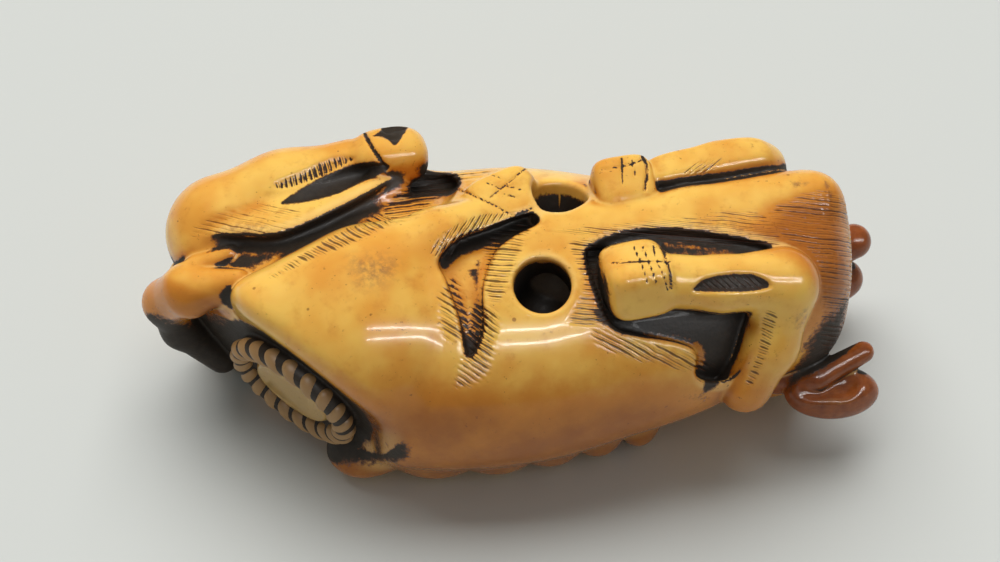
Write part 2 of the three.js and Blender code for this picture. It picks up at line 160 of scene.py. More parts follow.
def smooth_line(points, closed=True, steps=6):
    """Catmull-Rom curve through the points."""
    pts = np.array(points, float)
    count = len(pts)
    t = np.arange(steps)[:, None] / steps
    line = []
    for i in range(count if closed else count - 1):
        around = [i - 1, i, i + 1, i + 2]
        a, b, c, d = (pts[n % count] if closed else pts[min(max(n, 0), count - 1)] for n in around)
        curve = 2 * b + (c - a) * t + (2 * a - 5 * b + 4 * c - d) * t ** 2 + (3 * b - a - 3 * c + d) * t ** 3
        line.extend(curve / 2)
    return np.array(line + ([] if closed else [pts[-1]]))


def on_belly(p):
    return np.stack([p[:, 0], p @ ACROSS], 1)


REACH = 1.5                                # distances are only exact this near an outline


def line_distance(q, line, closed):
    """Distance to a polyline on the drawing plane, and whether each point is inside it."""
    nearest = np.full(len(q), 1e9)
    inside = np.zeros(len(q), bool)
    ends = np.roll(line, -1, 0) if closed else line[1:]
    for a, b in zip(line, ends):
        e = b - a
        t = np.clip((q - a) @ e / max(e @ e, 1e-12), 0, 1)
        r = q - a - t[:, None] * e
        nearest = np.minimum(nearest, (r * r).sum(1))
        if closed and a[1] != b[1]:
            crossing = a[0] + (q[:, 1] - a[1]) * e[0] / e[1]
            inside ^= ((a[1] > q[:, 1]) != (b[1] > q[:, 1])) & (q[:, 0] < crossing)
    return np.sqrt(nearest), inside


def drawn(*points):
    line = smooth_line(points)
    low_corner, high_corner = line.min(0), line.max(0)

    def outline(p):
        q = on_belly(p)
        outside = np.maximum(np.maximum(low_corner - q, q - high_corner), 0)
        d = np.hypot(outside[:, 0], outside[:, 1])
        near = d < REACH
        distance, inside = line_distance(q[near], line, True)
        d[near] = np.where(inside, -distance, distance)
        return d
    return outline


BELLY_SIDE = 6.5                           # mm from the middle to where the belly side starts


def sink(form, base, outline, depth, crease):
    """Sinks the ground inside an outline to a depth below another form's skin."""
    def sunk(p):
        tool = soft_max(outline(p), -(base(p) + depth), crease)
        return soft_max(form(p), -soft_max(tool, BELLY_SIDE - p @ OUTWARD, 1.5), crease)
    return sunk


# %% [markdown]
# ## The body
# The barrel, rump, shoulders and neck are one mass. The breastbone is a low ridge along the belly,
# and the spine's knuckles show as scallops along the lower edge. The places are the carver's own
# landmarks, the same as the CAD frame's, for a carving 60 mm long.

# %% Torso, breastbone and spine
RUMP_CUT_PLACE = 15.4
RUMP_CUT_FACING = np.array([0.617, 0.603, 0.506])


def torso():
    barrel = ball((-4.5, -2.15, 10.2), (22.5, 12.5, 10.6), y=-3)
    rump = ball((-17, 0.6, 11.2), (12.2, 9.5, 8.4), z=8)
    rump_base = block((-19.5, -2.5, 6.5), (10.2, 8.5, 6.9), 3)
    shoulders = ball((10, -1, 12), (13, 10.3, 8.8))
    neck = block((17.6, 1.5, 12.8), (9.8, 7.6, 7.6), 3.2, z=-4)
    belly = ball((0, 3.2, 12), (11.5, 7.5, 7.3))
    body = join(2.5, barrel, rump, rump_base, shoulders, neck, belly)
    right_thigh = limb(2, (-20.5, 5, 12, 5.4), (-12.5, 4.6, 10.6, 8), (-6, 3.2, 11, 7))
    return join(2, cut(1.6, body, lambda p: RUMP_CUT_PLACE + p @ RUMP_CUT_FACING), right_thigh)


def breastbone():
    return limb(1, (1, -1, 17.8, 2.6), (6, 0.2, 18.2, 2.2), (14, 1.9, 18.9, 1.9), (24.2, 4.3, 18.2, 2.2))


VERTEBRAE = 6


def spine():
    knuckles = []
    x, step = -12.5, 5.9
    for i in range(VERTEBRAE):
        y = -9.4 + 0.0085 * (x + 9) ** 2
        knuckles.append(ball((x, y, 2.6), ((0.5 if i == 0 else 0.6) * step, 2.2, 2.2)))
        x, step = x + step, step * 0.87
    return lambda p: np.minimum.reduce([knuckle(p) for knuckle in knuckles])


# %% [markdown]
# ## The folded legs
# Each leg is a limb that thins towards the hoof, and each hoof is a rounded block, set a little apart
# by a tight crease. The left hind leg also makes the great polished haunch.

# %% Legs and hoofs
HOOF_EDGE = 4


def left_hind_leg():
    thigh = limb(2, (-19.4, -6.6, 15.4, 3.8), (-11.5, -5.4, 12.2, 8.6), (-5.5, -4.5, 11, 8))
    hock = limb(1, (-19.4, -5.6, 16.2, 2.8), (-11.5, -3.6, 17.2, 4))
    shank = limb(1, (-11.5, -3.6, 17.2, 4), (-6.2, -1, 18.6, 2.9), (-3.2, 0.6, 19.1, 2.3))
    hoof = block((-0.7, 2.7, 18.9), (3.1, 2.8, 2.3), HOOF_EDGE, x=8, z=30)
    return join(0.5, join(2, thigh, join(1, hock, shank)), hoof)


def right_hind_leg():
    shank = limb(2, (-23.8, 4.4, 14, 4.9), (-18.8, 6.6, 15.7, 3.7), (-13.4, 8.4, 17.4, 2.5))
    tendon = limb(1, (-24.6, 2.2, 14.4, 3), (-16.5, 3.2, 16.4, 2.4), (-9.8, 6.2, 17.2, 1.3))
    hoof = block((-10.3, 8.6, 18.6), (3.2, 2.4, 2.2), 2.7, x=-10, z=12)
    return join(0.5, join(0.8, shank, tendon), hoof)


def left_front_leg():
    shin = limb(1, (11, -5.6, 19.8, 2.2), (16, -5.7, 19.5, 2.1), (21, -4.7, 18.8, 2.6))
    forearm = limb(1, (21.2, -5, 18, 2.5), (20.2, -7.2, 13.9, 2.2), (18.4, -8.6, 10.4, 2.2))
    hoof = block((9.4, -5.6, 19.9), (2.7, 3, 2.4), HOOF_EDGE, x=-18, z=14)
    return join(0.5, join(1.2, shin, forearm), hoof)


def right_front_leg():
    slab = block((15.4, 6.2, 19.7), (5.2, 1.6, 1.8), 4, z=15)
    shin = join(1.5, slab, bone((16.5, 6.6, 19.5), (20.1, 7.3, 19.2), 1.6, 1.5))
    forearm = limb(1, (20, 7.6, 18.4, 2.2), (18.6, 9.2, 14, 2.2), (15, 9.2, 9, 2.5))
    hoof = block((8.7, 4, 19.9), (2.5, 2.4, 2), HOOF_EDGE, x=15, z=12)
    return join(0.4, shin, forearm, hoof)


# %% Head, ears, horns and tail
def head():
    skull = block((20.2, 1.3, 4.9), (5.7, 5.4, 5.2), 2.4)
    nose = limb(1, (17, 1.4, 4.4, 4.4), (9.4, 1.9, 3.1, 2.9))
    muzzle = block((7.8, 1.9, 2.9), (2.4, 3.3, 2.9), 2.6)
    brows = [ball((17.2, 1.4 + side * 4.4, 3.4), (2.1, 1.2, 1.4)) for side in (-1, 1)]
    return join(0.5, join(1.6, skull, join(1, nose, muzzle)), *brows)


def left_ear_and_horn():
    ear = ball((26, -6, 6.1), (4, 1.9, 2.3), x=-30, y=8, z=6)
    inside = limb(0.5, (23.6, -7.5, 8, 0.9), (26.9, -6.8, 8.7, 1.7), (28.6, -5.9, 9.4, 1.2))
    horn = limb(0.5, (21.6, -4.6, 6.4, 1.5), (24.6, -5.6, 7.5, 1.1), (28.5, -3.9, 8.7, 0.9))
    return join(0.3, cut(0.4, ear, inside), horn)


def right_ear_and_horn():
    ear = limb(0.5, (22, 5.2, 4.6, 1.4), (26.6, 7, 5, 2.1), (28.3, 7.4, 4.6, 1.6), (27.4, 6.4, 2.9, 0.9))
    horn = limb(0.5, (21.8, 5, 6.6, 1.5), (25.6, 7, 7.4, 1.3), (28.8, 8, 8.8, 1.5))
    return join(0.3, ear, horn)


def tail():
    root = limb(1, (-24.6, -0.5, 3.8, 1.4), (-27.6, -0.9, 8, 1.5), (-28.4, -1, 11.6, 1.8))
    tuft = limb(1, (-28.4, -1, 11.6, 1.8), (-26.2, -2.2, 14.6, 2.3))
    left_lock = bone((-26, -2.6, 14.8), (-22, -3, 16.6), 2, 1)
    right_lock = bone((-25.4, -0.8, 15.4), (-22.8, -0.4, 17), 1.3, 0.6)
    return join(0.4, join(1, root, tuft), left_lock, right_lock)


# %% [markdown]
# ## The roped disc
# A round plate stands on the left rump inside a rope border. The haunch is pared away beside it to a
# sloping edge, which leaves the dark gap that sets the disc off.

# %% The disc's plate and its seat
DISC_RADIUS = 5.6
DISC_CENTRE = np.array([-17.8, -8, 9])
DISC_FACING = np.array([-0.583, -0.782, -0.226])
DISC_FACING /= np.linalg.norm(DISC_FACING)
PLATE_DEPTH = 4
ROPE_INSET = 0.45                          # the rope's middle, inside the disc's edge
ROPE_RADIUS = 0.85
ROPE_HEIGHT = 0.1
PARED_END = 3.2                            # mm past the disc's edge
PARED_EDGE = np.array([-16.3, -7.9, 11.6])
PARED_FACING = np.array([0.617, 0.661, 0.437])
PARED_FACING /= np.linalg.norm(PARED_FACING)
PARED_ALONG = np.array([0.787, -0.473, -0.397])
PARED_ALONG /= np.linalg.norm(PARED_ALONG)


def disc_place(p):
    """Distance from the disc's axis, and height above its face."""
    q = p - DISC_CENTRE
    height = q @ DISC_FACING
    return np.linalg.norm(q - height[:, None] * DISC_FACING, axis=1), height


def disc(p):
    radius, height = disc_place(p)
    plate = soft_max(radius - DISC_RADIUS, np.abs(height + PLATE_DEPTH / 2) - PLATE_DEPTH / 2, 0.4)
    rope = np.hypot(radius - DISC_RADIUS + ROPE_INSET, height - ROPE_HEIGHT) - ROPE_RADIUS
    return soft_min(plate, rope, 0.2)


def disc_seat(p):
    slope = (p - PARED_EDGE) @ PARED_FACING
    q = p - DISC_CENTRE
    end = q @ PARED_ALONG - DISC_RADIUS - PARED_END
    return soft_max(soft_max(end, -(q @ DISC_FACING + 1), 3), slope, 0.8)


# %% Grooves beside the legs
under_shin = drawn(
    (5.6, 10.8), (6.6, 7), (7.6, 4.9), (9.7, 4.2), (13.9, 3.1), (14.3, 0.9), (16.6, 0.6), (19.5, 2.5),
    (20.5, 6), (19, 8.6), (12, 9.2), (9, 10.4),
)
beside_right_shin = drawn(
    (6.3, 14.6), (9.9, 14.9), (20.6, 17), (23, 17.4), (21, 17.9), (14.7, 16.9), (9, 15.9),
)
beside_left_shin = drawn(
    (6.6, 11.4), (9.8, 12.3), (14.5, 12.1), (20, 11), (21.5, 9.5), (16.7, 8.8), (10, 9), (7.4, 10),
)
between_thighs = drawn(
    (-30, 11.7), (-22.7, 11.9), (-18.6, 12), (-14, 14), (-9, 16.8), (-7, 17.2), (-4.6, 16.2), (-7.2, 12.9),
    (-10.6, 11.4), (-14.5, 10.2), (-19.2, 8.6), (-22, 6.6), (-24.5, 8), (-30, 9.6),
)
before_haunch = drawn(
    (1, 13.7), (-2, 12.6), (-4.6, 11.6), (-6, 10), (-5.4, 8.4), (-4.4, 5.6), (-3.6, 2.6), (-2.5, 4.6),
    (-2.5, 8), (-1.6, 10.6), (-0.2, 11.9), (1.8, 13),
)

# %% The whole carving
GROOVE = 1.6                               # mm deep
HOLLOW = 1.0
CORD_HOLE = 4.5                            # mm across
body = torso()


def cord_holes():
    hole = CORD_HOLE / 2
    return bone((2, -7.2, 22), (2.4, -2.6, 13), hole, hole), bone((3.6, 4, 22), (3.4, 0, 14), hole, hole)


def carving():
    ox = sink(body, body, beside_right_shin, HOLLOW, 0.8)
    ox = sink(ox, body, beside_left_shin, HOLLOW, 0.8)
    ox = join(1.6, ox, breastbone())
    ox = sink(ox, body, under_shin, GROOVE, 0.5)
    ox = sink(ox, body, between_thighs, GROOVE, 1)
    ox = join(0.5, ox, left_hind_leg())
    ox = sink(ox, body, before_haunch, GROOVE, 0.5)
    ox = join(2.4, cut(1.8, ox, disc_seat), spine())
    ox = join(0.4, ox, right_hind_leg(), left_front_leg(), right_front_leg(), tail())
    ox = join(0.4, ox, head(), left_ear_and_horn(), right_ear_and_horn(), disc)
    holed = cut(0.4, ox, *cord_holes())
    return lambda p: np.maximum(holed(p), -p[:, 2])          # worn flat underneath


ox_form = carving()
heart = float(ox_form(np.array([[0.0, 0.0, 11.0]]))[0])
print(f"The field is ready: {heart:.1f} mm at the heart of the carving.")

# %% [markdown]
# ## From the field to a skin
# Blender needs a mesh, so the zero level of the field is wrapped in small squares, one corner in each
# cell that the skin crosses. Testing every cell of the box would take millions of samples, so coarse
# cells are tested first and only those near the skin are split, down to a sixth of a millimetre. That
# is fine enough for the carver's knife strokes.

# %% Cells near the skin
CELL = 0.17                                # mm
SPLITS = 3
BLOCK = CELL * 2 ** SPLITS
FIELD_LOW = np.array([-32.0, -16.0, -1.0])
FIELD_HIGH = np.array([32.0, 15.0, 24.0])
CORNERS = np.array([(i, j, k) for i in (0, 1) for j in (0, 1) for k in (0, 1)])


def sampled(form, p, batch=16000):
    """The form's distances at many points, a batch at a time on several threads."""
    with ThreadPoolExecutor() as workers:
        return np.concatenate(list(workers.map(form, (p[i:i + batch] for i in range(0, len(p), batch)))))


def cells_near_skin(form):
    """Whole-number places of the fine cells that the skin may cross."""
    counts = np.ceil((FIELD_HIGH - FIELD_LOW) / BLOCK).astype(int)
    cells = np.stack(np.meshgrid(*(np.arange(n) for n in counts), indexing="ij"), -1).reshape(-1, 3)
    size = BLOCK
    while True:
        centres = FIELD_LOW + (cells + 0.5) * size
        cells = cells[np.abs(sampled(form, centres)) < size * 1.25]
        if size < CELL * 1.5:
            return cells
        cells = (cells[:, None] * 2 + CORNERS).reshape(-1, 3)
        size /= 2


# %% Wrapping the cells in squares
STRIDE = 4096


def key(cells):
    return (cells[:, 0] * STRIDE + cells[:, 1]) * STRIDE + cells[:, 2]


def wrap(form):
    """Corners and faces of a skin on the form's zero level."""
    cells = cells_near_skin(form)
    corner_keys = key((cells[:, None] + CORNERS).reshape(-1, 3))
    keys, first, inverse = np.unique(corner_keys, return_index=True, return_inverse=True)
    grid = (cells[:, None] + CORNERS).reshape(-1, 3)[first]
    values = sampled(form, FIELD_LOW + grid * CELL)
    at_corner = values[inverse].reshape(-1, 8)
    crossed = (at_corner < 0).any(1) & (at_corner >= 0).any(1)
    cells, at_corner = cells[crossed], at_corner[crossed]

    total = np.zeros((len(cells), 3))
    crossings = np.zeros(len(cells))
    for a in range(8):
        for b in range(a + 1, 8):
            step = CORNERS[b] - CORNERS[a]
            if np.abs(step).sum() != 1:
                continue
            va, vb = at_corner[:, a], at_corner[:, b]
            cross = (va < 0) != (vb < 0)
            t = np.where(cross, va / np.where(cross, va - vb, 1), 0)
            total += np.where(cross[:, None], CORNERS[a] + t[:, None] * step, 0)
            crossings += cross
    points = FIELD_LOW + (cells + total / crossings[:, None]) * CELL

    order = np.argsort(key(cells))
    cell_keys = key(cells)[order]

    def index_of(places):
        spot = np.minimum(np.searchsorted(cell_keys, key(places)), len(order) - 1)
        return order[spot], cell_keys[spot] == key(places)

    faces = []
    for axis in range(3):
        one, two = (axis + 1) % 3, (axis + 2) % 3
        along = np.zeros(3, int)
        along[axis] = 1
        corner = int(np.flatnonzero((CORNERS == along).all(1))[0])
        va, vb = at_corner[:, 0], at_corner[:, corner]
        for rising in (True, False):
            mark = (va < 0) & (vb >= 0) if rising else (va >= 0) & (vb < 0)
            here = cells[mark]
            back_one, back_two = np.zeros(3, int), np.zeros(3, int)
            back_one[one], back_two[two] = 1, 1
            ring = [here - back_one - back_two, here - back_two, here, here - back_one]
            indices, found = zip(*(index_of(places) for places in ring))
            square = np.stack(indices, 1)[np.logical_and.reduce(found)]
            faces.append(square if rising else square[:, ::-1])
    return points, np.concatenate(faces)


skin_points, skin_faces = wrap(ox_form)
print(f"The skin has {len(skin_points)} corners and {len(skin_faces)} squares.")

# %% [markdown]
# ## Knife work drawn on the skin
# Over the big forms the carver drew with a knife: hairlines on the belly and neck, short bristly
# strokes where a leg meets the body, cleft lines on the hoofs. They are cut by moving the skin's own
# corners inwards, which is quicker to try than another field. The places are read on the belly plane.

# %% Smooth noise and soft steps
def soft_step(a, b, x):
    t = np.clip((x - a) / (b - a), 0, 1)
    return t * t * (3 - 2 * t)


def lattice(i, j, k):
    """A repeatable random number from 0 to 1 for each whole-number place."""
    h = (i * 73856093) ^ (j * 19349663) ^ (k * 83492791)
    h = (h ^ (h >> 13)) * 1274126177 & 0x7FFFFFFF
    return (h ^ (h >> 16)) / 0x7FFFFFFF


def noise(p, size):
    """Value noise from -1 to 1, with lumps about as big as size in mm."""
    q = p / size
    cell = np.floor(q).astype(np.int64)
    f = q - cell
    f = f * f * (3 - 2 * f)
    total = np.zeros(len(p))
    for corner in CORNERS:
        weight = np.where(corner, f, 1 - f).prod(1)
        total += weight * lattice(*(cell + corner).T)
    return total * 2 - 1


# %% Patches and scored lines
def patch(points, feather=0.5):
    """How far inside an outline a place is: 0 outside, rising to 1 over the feather in mm."""
    outline = drawn(*points)
    return lambda p: soft_step(0, feather, -outline(p))


def score(points, width):
    """A scored line: 1 along its middle, 0 at half its width."""
    line = smooth_line(points, closed=False, steps=4)
    middle = (line.min(0) + line.max(0)) / 2
    reach = np.abs(line - middle).max(0) + width

    def scored(p):
        q = on_belly(p)
        depth = np.zeros(len(q))
        near = (np.abs(q - middle) < reach).all(1)
        distance, _ = line_distance(q[near], line, False)
        depth[near] = soft_step(width / 2, 0, distance)
        return depth
    return scored


# %% [markdown]
# ## Hatching
# Each patch of hatching has an outline, a direction and a spacing. Rather than hundreds of drawn
# strokes, each corner of the skin stores how many strokes across it lies, as one number that grows
# steadily. The part after the decimal point is 0.5 in the middle of a stroke, wherever it is read,
# so the mesh and the stain both find the same strokes, and the stain stays crisp between corners.

# %% The patches of hatching: outline, direction in degrees, spacing in mm, strength, feather in mm
LADDER = (
    (-19.5, 16.4), (-17.5, 17.3), (-15.8, 18.2), (-14.2, 18.7), (-12.9, 18.4), (-14.2, 17.5),
    (-16.5, 16.4), (-18.9, 15.7),
)
HATCHING = (
    # hair on the right thigh
    (((-26.7, 12), (-25.3, 13.7), (-21.4, 15.1), (-17.2, 14.7), (-16.4, 12.9), (-18.8, 11.7),
      (-25.3, 11.6)), -13, 0.38, 0.6, 1.2),
    # ladder on the right shank
    (LADDER, 105, 0.42, 1, 0.3),
    # the belly between the thighs
    (((-19.3, 9), (-16.1, 11.2), (-13.4, 12.8), (-11, 14), (-9.3, 13.3), (-10.5, 12.2), (-12.9, 11),
      (-16.1, 9.8), (-18.6, 8.4)), -28, 0.46, 1, 0.5),
    (((-11, 14), (-9.3, 16.2), (-7.5, 17.2), (-2.5, 17.9), (-1.8, 16.9), (-5.5, 15.7), (-7.2, 13.8),
      (-9.3, 12.7)), 6, 0.42, 0.9, 0.6),
    # the left hock
    (((-6.7, 10.5), (-6.1, 11.7), (-5.1, 12.7), (-3.6, 13.5), (-2, 13.9), (0.2, 13.8), (-1.1, 13.2),
      (-2.8, 12.3), (-4.1, 11.4), (-5.2, 10.1)), 60, 0.36, 1, 0.25),
    # the belly beside the left hock
    (((-2.5, 12), (-1, 12.9), (1.8, 13.4), (0.9, 10.8), (0, 8.5), (-1, 6.5), (-2.6, 7), (-2.9, 9.9)),
     -7, 0.42, 1, 0.9),
    # the haunch beside the groove
    (((-6.4, 7.3), (-4.5, 9.3), (-3.6, 6.9), (-3.1, 4.1), (-5.6, 3.6)), -32, 0.44, 0.8, 0.9),
    (((-3.6, 6.8), (-1.1, 6.2), (-1.4, 2.9), (-2.2, 0.6), (-5, -0.1), (-4.4, 3.1)), -34, 0.44, 1, 0.8),
    # from the cord hole to the left hoof
    (((3.9, 11.4), (6.5, 11.6), (6.9, 7.7), (7.4, 5), (3.9, 5), (5, 8.1)), -4, 0.38, 1, 0.6),
    # the shoulder under the left front leg
    (((5.8, 5), (9.7, 4.1), (13.8, 3.2), (16.5, 1.4), (13.7, 1), (9.7, 1.9), (6.4, 3)), -28, 0.42, 0.9, 0.8),
    # beside the breastbone
    (((1.2, 12.3), (6.7, 13.1), (14.6, 13.9), (19.4, 14.3), (21.1, 11.2), (14.6, 10.9), (9.8, 11.7),
      (5.1, 11.6)), -5, 0.3, 0.75, 0.6),
    # round the neck
    (((19.9, 13.9), (22.8, 15.7), (25.4, 16), (27.4, 14.5), (28, 10.9), (27.4, 5), (25.9, 2.3),
      (24.3, 3.5), (23.4, 9.9), (21.3, 11.2)), -6, 0.38, 0.8, 0.7),
    # feathered hair on the right front shin
    (((13, 17.2), (14.8, 18.1), (17, 18.4), (15.8, 17.1), (14, 16.8)), 40, 0.32, 0.8, 0.4),
    # the hollow on the left front shin
    (((13.8, 7.6), (14.2, 8.4), (15.4, 8.9), (17.3, 9.1), (18.9, 8.8), (19.7, 8), (18.7, 7.6),
      (16.1, 7.5)), -40, 0.36, 0.9, 0.3),
    # the left forearm
    (((19.3, 6.1), (20.5, 5.9), (20.2, 3.6), (19.6, 1.8), (18.8, 0.1), (18, 0.1), (18.6, 2), (19, 3.6)),
     -22, 0.42, 1, 0.35),
)
HATCHED = [(patch(points, feather), math.radians(angle), gap, strength)
           for points, angle, gap, strength, feather in HATCHING]


def hatch(p):
    """For each corner: strokes across, mm along the stroke, and how strongly it is hatched."""
    q = on_belly(p)
    result = np.zeros((len(p), 3))
    wobble = 0.22 * noise(p, 2.1) + 0.12 * noise(p + 50, 0.7)
    for mask, angle, gap, strength in HATCHED:
        here = mask(p) * strength
        across = (q[:, 1] * math.cos(angle) - q[:, 0] * math.sin(angle)) / gap + wobble
        along = q[:, 0] * math.cos(angle) + q[:, 1] * math.sin(angle)
        better = here > result[:, 2]
        result[better] = np.stack([across, along, here], 1)[better]
    return result


def stroke_depth(hatching):
    """1 in the middle of a stroke, 0 between strokes."""
    part = hatching[:, 0] % 1
    return soft_step(0.35, 0.9, 1 - np.abs(2 * part - 1)) * hatching[:, 2]


# %% Cleft lines, creases and pits
DEEP_LINES = (                              # points, width, depth
    (((-12.8, 21.4), (-11.7, 19.5), (-10.4, 17.5)), 0.5, 0.3),                     # right hind coronet
    (((7.4, 9.8), (9.6, 9.9), (11.9, 9.9)), 0.26, 0.14),                           # left front cleft
    (((11.5, 11.3), (11.6, 10.2), (11.9, 9), (12, 7.8)), 0.34, 0.2),
    (((10.7, 11.2), (10.9, 9.9), (11.4, 8.7), (11.7, 7.7)), 0.24, 0.12),
    (((9.2, 11.1), (9.6, 9.9), (10.1, 8.3)), 0.26, 0.12),
    (((9.9, 11.1), (10.3, 9.7), (10.8, 8.2)), 0.24, 0.12),
    (((-2, 15), (-0.6, 16.2), (0.9, 17.5)), 0.26, 0.14),                           # left hind cleft
    (((-2.4, 16.3), (-1.3, 15.8)), 0.2, 0.1),
    (((-1.8, 16.9), (-0.6, 16.4)), 0.2, 0.1),
    (((-1.2, 15.4), (0.3, 15)), 0.2, 0.1),
    (((-0.7, 16), (0.7, 15.6)), 0.2, 0.1),
    (((-4.6, 15.8), (-2, 14.6), (-0.2, 13.7), (1.4, 14.2)), 0.26, 0.14),
    (((10.2, 18.5), (10.6, 17.4), (10.3, 15.6)), 0.4, 0.24),                       # right front coronet
    (((6.9, 17.3), (8.8, 17.6), (10.2, 18.1)), 0.22, 0.12),
    (((8.5, 18.3), (8.6, 16.1)), 0.26, 0.12),
    (((9.3, 18.3), (9.6, 16.8)), 0.24, 0.12),
)
SCORED = [(score(points, width), depth) for points, width, depth in DEEP_LINES]
shank_slit = drawn((-18.8, 14.7), (-16.6, 16.3), (-14.2, 17.5), (-12.4, 18), (-10.7, 18), (-10.2, 17.5),
                   (-12.4, 16.4), (-14.1, 15.5), (-15.7, 15), (-17.2, 14.7))
hoof_pit = drawn((-11, 21.3), (-9.8, 21.6), (-8.6, 21.4), (-9.2, 19.9), (-9.8, 19.3), (-10.6, 20),
                 (-11.7, 20.2), (-11.1, 20.7))
shin_hollow = drawn((13.6, 7.5), (14.2, 8.5), (15.4, 9), (17.3, 9.2), (19, 8.9), (19.9, 8), (18.7, 7.5),
                    (16.1, 7.4))
shank_ladder = drawn(*LADDER)


def facing_up(normals):
    """1 where the skin faces the belly side, 0 where it faces away."""
    return soft_step(0.0, 0.25, normals @ OUTWARD)


def plate_side(p, normals):
    """1 on the disc's face, 0 elsewhere."""
    height = disc_place(p)[1]
    return soft_step(2.6, 2.2, np.abs(height + 0.6)) * soft_step(0.5, 0.8, normals @ DISC_FACING)


STROKE_DEPTH = 0.1
PLATE_BOSS = 0.5                           # mm that the disc's plate swells inside its rope


def relief(p, normals):
    """Depth in mm that each corner moves inwards."""
    depth = STROKE_DEPTH * stroke_depth(hatch(p))
    for line, deep in SCORED:
        depth += deep * line(p)
    depth += 0.8 * soft_step(0.1, -0.9, shank_slit(p))
    depth += 0.3 * soft_step(0.1, -0.5, hoof_pit(p)) * (1 + 0.5 * noise(p, 0.6))
    depth += 0.35 * soft_step(0.1, -0.5, shin_hollow(p))
    depth += 0.2 * soft_step(0.1, -0.5, shank_ladder(p))
    boss = soft_step(DISC_RADIUS - 1.8, DISC_RADIUS - 2.3, disc_place(p)[0]) * plate_side(p, normals)
    return depth * facing_up(normals) - PLATE_BOSS * boss


def face_normals(points, faces):
    """Normals at the corners, pointing outwards, averaged over the faces that meet there."""
    a, b, c, d = (points[faces[:, n]] for n in range(4))
    facing = np.cross(c - a, d - b)
    normals = np.zeros_like(points)
    for n in range(4):
        np.add.at(normals, faces[:, n], facing)
    return normals / np.maximum(np.linalg.norm(normals, axis=1, keepdims=True), 1e-12)


skin_normals = face_normals(skin_points, skin_faces)
skin_rows = np.hstack([skin_points, skin_normals])
skin_depth = sampled(lambda rows: relief(rows[:, :3], rows[:, 3:]), skin_rows)
cut_points = skin_points - skin_normals * skin_depth[:, None]
print(f"The deepest cut is {skin_depth.max():.2f} mm. {(skin_depth > 0.03).mean():.0%} of the skin is cut.")

# %% [markdown]
# ## Into the shared frame
# The landmarks above are the carver's own. The CAD model was moved so that the middle of its foot is
# the origin, and sized to the stated length, so the skin gets the same move and the same scale.

# %% Placing the skin
skin_low, skin_high = skin_points.min(0), skin_points.max(0)
FIT = LENGTH / (skin_high[0] - skin_low[0])
SHIFT = np.array([*(-(skin_low + skin_high) / 2)[:2], -skin_low[2]])


def placed(p):
    return (np.asarray(p, float) + SHIFT) * FIT * MM


print(f"Moved by {SHIFT.round(3)} mm and scaled by {FIT:.4f}.")


# %% A mesh object from arrays
def mesh_object(name, points, faces):
    mesh = bpy.data.meshes.new(name)
    mesh.vertices.add(len(points))
    mesh.vertices.foreach_set("co", np.asarray(points, np.float32).ravel())
    mesh.loops.add(faces.size)
    mesh.loops.foreach_set("vertex_index", faces.astype(np.int32).ravel())
    mesh.polygons.add(len(faces))
    mesh.polygons.foreach_set("loop_start", np.arange(0, faces.size, faces.shape[1], dtype=np.int32))
    mesh.update(calc_edges=True)
    mesh.validate()
    piece = bpy.data.objects.new(name, mesh)
    bpy.context.scene.collection.objects.link(piece)
    return piece


ox = mesh_object("ox", placed(cut_points), skin_faces)

# %% [markdown]
# ## Fewer triangles where the skin is plain
# The even net spends as many faces on the smooth haunch as on the hatching. Decimate's collapse mode
# removes the edges that change the shape least, so the strokes keep their faces.

# %% Thinning the net
MOST_TRIANGLES = 184000
thinner = ox.modifiers.new("thinner", "DECIMATE")
thinner.ratio = MOST_TRIANGLES / (2 * len(skin_faces))
thinner.use_collapse_triangulate = True
thin_mesh = bpy.data.meshes.new_from_object(ox.evaluated_get(bpy.context.evaluated_depsgraph_get()))
ox.modifiers.remove(thinner)
ox.data = thin_mesh
thin_mesh.shade_smooth()
points = np.empty(len(thin_mesh.vertices) * 3, np.float32)
thin_mesh.vertices.foreach_get("co", points)
points = points.reshape(-1, 3).astype(float) / (FIT * MM) - SHIFT
normals = np.empty(points.size, np.float32)
thin_mesh.vertex_normals.foreach_get("vector", normals)
normals = normals.reshape(-1, 3).astype(float)
print(f"The ox has {len(thin_mesh.polygons)} triangles.")

# %% Camera
camera_data = bpy.data.cameras.new("camera")
camera_data.lens, camera_data.sensor_width = 88.4, 36
camera_data.clip_start, camera_data.clip_end = 0.01, 10
camera = bpy.data.objects.new("camera", camera_data)
bpy.context.scene.collection.objects.link(camera)
AIM = placed((-1.2, 0, 13.1))
CAMERA_DISTANCE = 200                      # mm
camera.location = Vector(AIM) + Vector(OUTWARD) * CAMERA_DISTANCE * FIT * MM
camera.rotation_euler = (-Vector(OUTWARD)).to_track_quat("-Z", "Y").to_euler()
bpy.context.scene.camera = camera

# %% [markdown]
# ## Where the black stain stays
# The stain was rubbed on and wiped off, so it stays where a cloth can't reach. The distance field knows
# such places: a little way out from open skin the field is as large as that step, while in a groove the
# other wall is nearer, so it is smaller. Stains that were wiped by hand are drawn as patches too. Some
# black and brown patches low on the sides are painted shade as well as stain, and the pale convex edges
# are partly a painted highlight as well as wear.

# %% How hollow each place is
def hollowness(reach):
    """0 on open skin, towards 1 in a gap narrower than the reach in mm."""
    return np.clip(1 - sampled(ox_form, points + normals * reach) / reach, 0, 1)


narrow, middling, wide = (hollowness(reach) for reach in (0.5, 1.2, 3.0))
print(f"Hollow places: {(narrow > 0.3).mean():.0%} narrow, {(wide > 0.3).mean():.0%} wide.")
